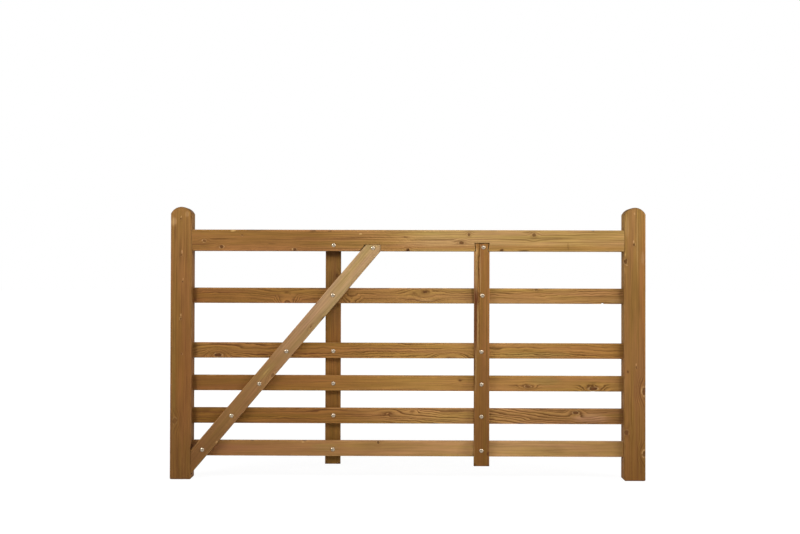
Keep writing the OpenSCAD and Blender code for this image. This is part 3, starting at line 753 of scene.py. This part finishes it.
def openSplit(bm, path, front):
    # a V-shaped drying crack that follows the grain down the face, narrow at both ends
    def acrossAt(place):
        for (a0, c0), (a1, c1) in zip(path, path[1:]):
            if a1 <= place <= a0:
                return c0 + (c1 - c0) * (a0 - place) / (a0 - a1) + 1.2 * noise.noise((place / 14, 3.0, 0))
        return path[-1][1]

    top, bottom = path[0][0], path[-1][0]
    count = round((top - bottom) / wear["splitStep"])
    stops = [top + (bottom - top) * i / count for i in range(count + 1)]
    for stop in stops:
        near = facesNear(bm, stop - 30, stop + 30, -60, 60, front + 1)
        cutAcross(bm, near, (stop, 0, 0), (1, 0, 0))
    for one, two in zip(stops, stops[1:]):
        here = Vector((one, 0, acrossAt(one)))
        there = Vector((two, 0, acrossAt(two)))
        side = (there - here).cross(Vector((0, 1, 0))).normalized()
        for step in (-0.5, 0.0, 0.5):
            shifted = here + side * step * wear["splitWide"]
            near = facesNear(bm, two, one, min(here.z, there.z) - 14, max(here.z, there.z) + 14, front + 1)
            cutAcross(bm, near, shifted, side)
    footRun, endRun = wear["splitRunOut"]
    for vert in bm.verts:
        if bottom <= vert.co.x <= top and vert.co.y < front + 0.5:
            off = abs(vert.co.z - acrossAt(vert.co.x))
            if off < wear["splitWide"] * 0.3:
                ends = min(1.0, (vert.co.x - bottom) / footRun, (top - vert.co.x) / endRun)
                vert.co.y += wear["splitDeep"] * max(0.0, ends)


def breakOut(bm, chip, halfThick):
    # a spot at an arris where a knot or splinter has come away
    atAlong, atAcross, halfLong, halfHigh, depth, how = chip
    back = halfThick + 1 if how == "through" else depth * 2 - halfThick
    # cuts that give it points, in parts of its half length and its half height
    for step in (-1.1, -0.7, -0.4, -0.1, 0.25, 0.6, 1.0):
        near = facesNear(bm, atAlong - 30, atAlong + 30, atAcross - 20, atAcross + 20, back)
        cutAcross(bm, near, (atAlong + step * halfLong, 0, 0), (1, 0, 0))
    for step in (-1.0, -0.6, -0.25, 0.1, 0.5, 0.9):
        near = facesNear(bm, atAlong - 1.1 * halfLong, atAlong + halfLong, atAcross - 14, atAcross + 14, back)
        cutAcross(bm, near, (0, 0, atAcross + step * halfHigh), (0, 0, 1))
    inward = -1 if atAcross > 0 else 1
    for vert in bm.verts:
        x, y, z = vert.co
        far = math.hypot((x - atAlong) / halfLong, (z - atAcross) / halfHigh)
        if far < 1 and y < back:
            gone = depth * (1 - far ** 2) * (0.8 + 0.9 * noise.noise((x / 3, y / 3, z / 3)))
            vert.co.z += inward * gone
            if how != "through":
                vert.co.y += gone


def wornTimber(name):
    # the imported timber's own shape, with enough points to carry slight hollows, rubbed arrises and flaws
    timber = timbers[name]
    start, turn, length = timberSpace(name)
    spin = Matrix.Rotation(turn, 3, "Y")
    halfWide, halfThick = timberHalves(name)
    bm = bmesh.new()
    bm.from_mesh(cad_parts[name].data)
    for vert in bm.verts:
        vert.co = spin @ (vert.co - start) * 1000
    bmesh.ops.remove_doubles(bm, verts=bm.verts, dist=0.002)
    bmesh.ops.dissolve_limit(bm, angle_limit=math.radians(0.2), verts=bm.verts, edges=bm.edges)
    low = min(vert.co.x for vert in bm.verts)
    high = max(vert.co.x for vert in bm.verts)
    columns = round((high - low) / wear["column"])
    for i in range(1, columns):
        cutAcross(bm, bm.faces[:], (low + (high - low) * i / columns, 0, 0), (1, 0, 0))
    for half, normal in ((halfWide, Vector((0, 0, 1))), (halfThick, Vector((0, 1, 0)))):
        rows = max(2, round(2 * half / wear["row"]))
        for i in range(1, rows):
            cutAcross(bm, bm.faces[:], normal * (half * (2 * i / rows - 1)), normal)

    for chip in timber.get("chips", []):
        breakOut(bm, chip, halfThick)
    if "split" in timber:
        openSplit(bm, timber["split"], -halfThick)

    bm.normal_update()
    seed = timber["seed"] * 3.7
    band = woodFinish["arrisBand"]
    longX, longY, longZ = wear["longWave"]
    shortX, shortY, shortZ = wear["shortWave"]
    for vert in bm.verts:
        x, y, z = vert.co
        pastWide, pastThick = abs(z) - halfWide, abs(y) - halfThick
        arris = max(0.0, (pastWide + band) / band) * max(0.0, (pastThick + band) / band)
        broad = 0.5 + 0.5 * noise.noise((x / longX + seed, y / longY, z / longZ))
        short = 0.5 + 0.5 * noise.noise((x / shortX + seed, y / shortY + 8, z / shortZ))
        vert.co -= vert.normal * (wear["hollow"] * broad + wear["rubbed"] * short * min(1.0, arris))

    back = spin.transposed()
    for vert in bm.verts:
        vert.co = back @ vert.co / 1000 + start
    bmesh.ops.triangulate(bm, faces=[face for face in bm.faces if len(face.verts) > 4])
    mesh = meshFrom(bm, "worn_" + name)
    shadeSmooth(mesh, wear["creased"])
    return mesh


for name, timber in timbers.items():
    stained = planedStainedPine(name)
    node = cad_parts[name]
    node.data.materials.clear()
    node.data.materials.append(stained)
    piece = addPiece("worn_" + name, wornTimber(name), stained, timber["slot"])
    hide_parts(name)
print("timbers stained:", len(timbers))


bolt = {
    "shank": 8, "headAcross": 18.5, "headRise": 4.4,    # mm
    "rim": 0.35,                                        # edge of the head, below its dome
    "sides": 40, "crownSteps": 12,
    "threads": 3, "threadPitch": 0.55,                  # the last turns, past the nut
    "washerAcross": 24, "washerThick": 1.6,
    "nutFlats": 13, "nutThick": 6.5, "pastNut": 2,
    "nutSides": 48, "cornerSlope": 0.577,               # its corners are turned off at 30 degrees
    "topRise": {"back_upright": 26, "front_upright": 18, "brace": 14},   # above the top rail's underside
    "railRise": [-5, 1, -2, -3, 2],                     # off each rail's middle, lowest rail first
    "backShift": [2, 4, 3.5, 3, 1, 5],                  # off the upright's middle, to the right
    "frontShift": [-1, -1, -1, -1.5, 2.5, 7],
    "braceShift": [4.5, 5.5, 8.5, 6],                   # off the brace's middle, at the four lower rails
}
railNames = ["bottom_rail", "second_rail", "third_rail", "fourth_rail", "fifth_rail"]
frontFace = {name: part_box(name)[0].y for name in timbers}
backFace = {name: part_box(name)[1].y for name in timbers}


def braceAt(height):
    return crossing.x + (height - crossing.z) / math.tan(braceAngle)


def boltPlaces():
    # name, x, z, where the head sits, where the washer sits: drilled by eye, so none is quite in line
    backMiddle, frontMiddle = centreOf("back_upright").x, centreOf("front_upright").x
    back = [backMiddle + mm / 1000 for mm in bolt["backShift"]]
    front = [frontMiddle + mm / 1000 for mm in bolt["frontShift"]]
    top = {name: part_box("top_rail")[0].z + mm / 1000 for name, mm in bolt["topRise"].items()}
    topRailBack = backFace["top_rail"]
    places = [("back_top", back[-1], top["back_upright"], frontFace["top_rail"], backFace["back_upright"]),
              ("front_top", front[-1], top["front_upright"], frontFace["front_upright"], topRailBack),
              ("brace_top", braceAt(top["brace"]), top["brace"], frontFace["brace"], topRailBack)]
    for row, rail in enumerate(railNames):
        height = centreOf(rail).z + bolt["railRise"][row] / 1000
        places.append(("front_" + rail, front[row], height, frontFace["front_upright"], backFace[rail]))
        if rail == "fifth_rail":    # one long bolt holds the brace, this rail and the back upright
            places.append(("crossing", back[row], height, frontFace["brace"], backFace["back_upright"]))
            continue
        along = braceAt(height) + bolt["braceShift"][row] / 1000
        places.append(("back_" + rail, back[row], height, frontFace[rail], backFace["back_upright"]))
        places.append(("brace_" + rail, along, height, frontFace["brace"], backFace[rail]))
    return places


def lathe(bm, profile):
    # profile of (radius, y) in mm, turned about the bolt's own axis
    sides = bolt["sides"]
    rings = []
    for radius, y in profile:
        if radius < 1e-6:
            rings.append([bm.verts.new((0, y / 1000, 0))])
            continue
        angles = [2 * math.pi * i / sides for i in range(sides)]
        rings.append([bm.verts.new((radius / 1000 * math.cos(a), y / 1000, radius / 1000 * math.sin(a)))
                      for a in angles])
    for one, two in zip(rings, rings[1:]):
        for i in range(sides):
            j = (i + 1) % sides
            corners = [one[i % len(one)], one[j % len(one)], two[j % len(two)], two[i % len(two)]]
            corners = list(dict.fromkeys(corners))
            if len(corners) > 2:
                bm.faces.new(corners)


def turnHeadAndShank(bm, nutEnd):
    domed, rise, rim = bolt["headAcross"] / 2, bolt["headRise"], bolt["rim"]
    shank = bolt["shank"] / 2
    steps = bolt["crownSteps"]
    quarter = [math.pi / 2 * i / steps for i in range(steps)]
    crown = [(domed * math.sin(t), -rise * math.cos(t) ** 1.15) for t in quarter]
    crown += [(domed, -rim), (domed - 0.15, 0.0)]
    tip = nutEnd + bolt["pastNut"]
    thread = []
    for i in range(bolt["threads"]):
        y = nutEnd + 0.15 + i * bolt["threadPitch"]
        thread += [(shank - 0.35, y), (shank, y + 0.25)]
    lathe(bm, [(0, crown[0][1])] + crown[1:] + [(shank, 0.0), (shank, nutEnd)] + thread
          + [(shank - 0.2, tip - 0.15), (shank - 0.9, tip), (0, tip)])


def turnWasher(bm, front, back):
    outer, hole = bolt["washerAcross"] / 2, bolt["shank"] / 2 + 0.3
    lathe(bm, [(hole, front), (outer - 0.2, front), (outer, front + 0.25), (outer, back - 0.35),
               (outer - 0.4, back), (hole, back), (hole, front)])
    bmesh.ops.remove_doubles(bm, verts=bm.verts, dist=1e-6)


def addNut(bm, seat, turn):
    # hexagon with its corners turned off
    flats, steps = bolt["nutFlats"] / 2, bolt["nutSides"]
    face = flats * 0.96
    levels = [(0, "in"), (0, "face"), (0, "rim"), (1, "rim"), (1, "face"), (1, "in")]
    rings = []
    for level, part in levels:
        ring = []
        for i in range(steps):
            a = 2 * math.pi * i / steps
            corner = flats / math.cos((a + math.pi / 6) % (math.pi / 3) - math.pi / 6)
            radius = {"in": bolt["shank"] / 2 + 0.05, "face": face, "rim": corner}[part]
            drop = max(0.0, radius - face) * bolt["cornerSlope"] if part == "rim" else 0.0
            y = seat + (drop if level == 0 else bolt["nutThick"] - drop)
            across, up = radius * math.cos(a + turn), radius * math.sin(a + turn)
            ring.append(bm.verts.new((across / 1000, y / 1000, up / 1000)))
        rings.append(ring)
    for one, two in zip(rings, rings[1:] + rings[:1]):
        for i in range(steps):
            j = (i + 1) % steps
            bm.faces.new([one[i], one[j], two[j], two[i]])


def boltMesh(name, grip):
    # grip is the thickness between head and washer, in mm; the head's underside is at y 0
    bm = bmesh.new()
    washerBack = grip + bolt["washerThick"]
    turnHeadAndShank(bm, washerBack + bolt["nutThick"])
    turnWasher(bm, grip, washerBack)
    addNut(bm, washerBack, grip * 0.7)      # no two nuts stop at quite the same turn
    bmesh.ops.recalc_face_normals(bm, faces=bm.faces)
    mesh = meshFrom(bm, name)
    shadeSmooth(mesh, 32)
    return mesh


zincLook = {
    "bloomSize": 4,         # mm, blotches where the plating has dulled
    "dull": "#7d705f", "bright": "#c8b79f",
    "roughDull": 0.34, "roughBright": 0.18,
    "relief": 0.0003,
}


def zincPlatedSteel():
    # Cold-headed steel, zinc plated and weathered: warm grey and half dull, brighter where it faces
    # the light
    material, tree = emptyMaterial("zincPlatedSteel")
    bloomMm = addNode(tree, "VectorMath", {"operation": "SCALE"},
                      {0: addNode(tree, "TexCoord").outputs["Object"], "Scale": 1000})
    bloom = addNode(tree, "TexNoise", {},
                    {"Vector": bloomMm, "Scale": 1 / zincLook["bloomSize"], "Detail": 4.0, "Roughness": 0.6})
    dull, bright = linear(zincLook["dull"]), linear(zincLook["bright"])
    tone = addNode(tree, "ValToRGB", {"stops": [(0.38, dull), (0.62, bright)]}, [bloom])
    rough = addNode(tree, "MapRange", {},
                    [bloom, 0.35, 0.65, zincLook["roughDull"], zincLook["roughBright"]])
    bumped = addNode(tree, "Bump", {}, {"Height": bloom, "Distance": zincLook["relief"], "Strength": 0.7})
    metal = addNode(tree, "BsdfPrincipled", {},
                    {"Base Color": tone, "Metallic": 1.0, "Roughness": rough, "Normal": bumped})
    addNode(tree, "OutputMaterial", {}, {"Surface": metal})
    return material


zinc = zincPlatedSteel()
for place, x, z, head, tail in boltPlaces():
    mesh = boltMesh("bolt_" + place, (tail - head) * 1000)
    mesh.transform(Matrix.Translation((x, head, z)))
    addPiece("bolt_" + place, mesh, zinc, "bolt_zinc")
print("bolts set:", len(boltPlaces()))
